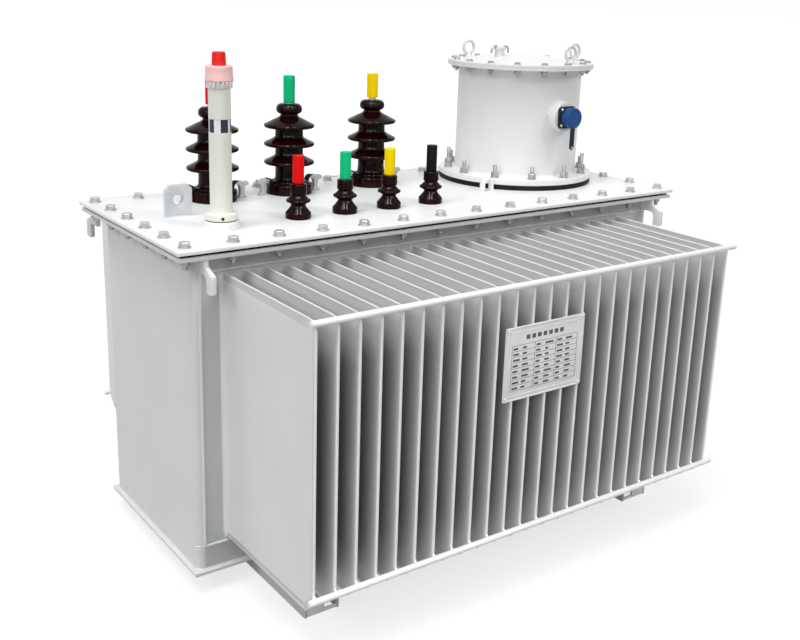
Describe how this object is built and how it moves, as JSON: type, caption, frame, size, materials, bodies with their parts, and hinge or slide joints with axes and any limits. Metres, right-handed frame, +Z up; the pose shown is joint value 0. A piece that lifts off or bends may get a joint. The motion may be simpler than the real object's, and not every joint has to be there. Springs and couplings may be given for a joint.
{
  "type": "power transformer",
  "caption": "Oil-immersed distribution transformer with corrugated cooling fins on both long sides, porcelain bushings and a switch turret on its bolted lid.",
  "frame": {"origin": "middle of the base at ground level, under the skids", "axes": "+X along the tank towards the turret, +Y towards the high-voltage side, +Z up"},
  "size_m": [1.35, 1.1564, 1.088],
  "materials": {
    "skid_paint": "satin grey paint",
    "tank_paint": "satin light grey paint",
    "rod_paint": "gloss white paint",
    "lid_paint": "gloss near-white paint",
    "turret_paint": "gloss white paint",
    "gasket_rubber": "black sheet",
    "brown_glaze": "dark brown glaze",
    "red_sleeve": "red vinyl",
    "green_sleeve": "green vinyl",
    "yellow_sleeve": "yellow vinyl",
    "black_sleeve": "black vinyl",
    "zinc_steel": "zinc plated",
    "gauge_white": "off-white plastic",
    "gauge_clear": "frosted clear plastic",
    "gauge_pink": "pink plastic",
    "gauge_red": "red plastic",
    "connector_black": "black moulding",
    "connector_blue": "blue cap",
    "plate_aluminium": "etched plate"
  },
  "bodies": {
    "root": {"left_skid": "skid_paint", "right_skid": "skid_paint", "base_plate": "skid_paint", "left_end_wall": "tank_paint", "right_end_wall": "tank_paint", "front_wall": "tank_paint", "back_wall": "tank_paint", "front_fins": "tank_paint", "back_fins": "tank_paint", "front_hooks": "tank_paint", "back_hooks": "tank_paint", "tank_rim": "tank_paint", "front_rods": "rod_paint", "back_rods": "rod_paint", "lid": "lid_paint", "lid_lug": "lid_paint", "lid_loop": "lid_paint", "turret_body": "turret_paint", "turret_cover": "turret_paint", "vent_plug": "turret_paint", "turret_eye_bolts": "turret_paint", "lid_gasket": "gasket_rubber", "turret_gasket": "gasket_rubber", "hv_porcelain_1": "brown_glaze", "hv_porcelain_2": "brown_glaze", "hv_porcelain_3": "brown_glaze", "lv_porcelains": "brown_glaze", "hv_cap_1": "red_sleeve", "lv_cap_1": "red_sleeve", "hv_cap_2": "green_sleeve", "lv_cap_2": "green_sleeve", "hv_cap_3": "yellow_sleeve", "lv_cap_3": "yellow_sleeve", "lv_cap_4": "black_sleeve", "hv_clamps": "zinc_steel", "gauge_boss": "gauge_white", "gauge_tube": "gauge_white", "gauge_ring": "gauge_clear", "gauge_cap": "gauge_pink", "gauge_knob": "gauge_red", "connector_flange": "connector_black", "connector_strap": "connector_black", "connector_cap": "connector_blue", "nameplate": "plate_aluminium"}
  },
  "joints": []
}
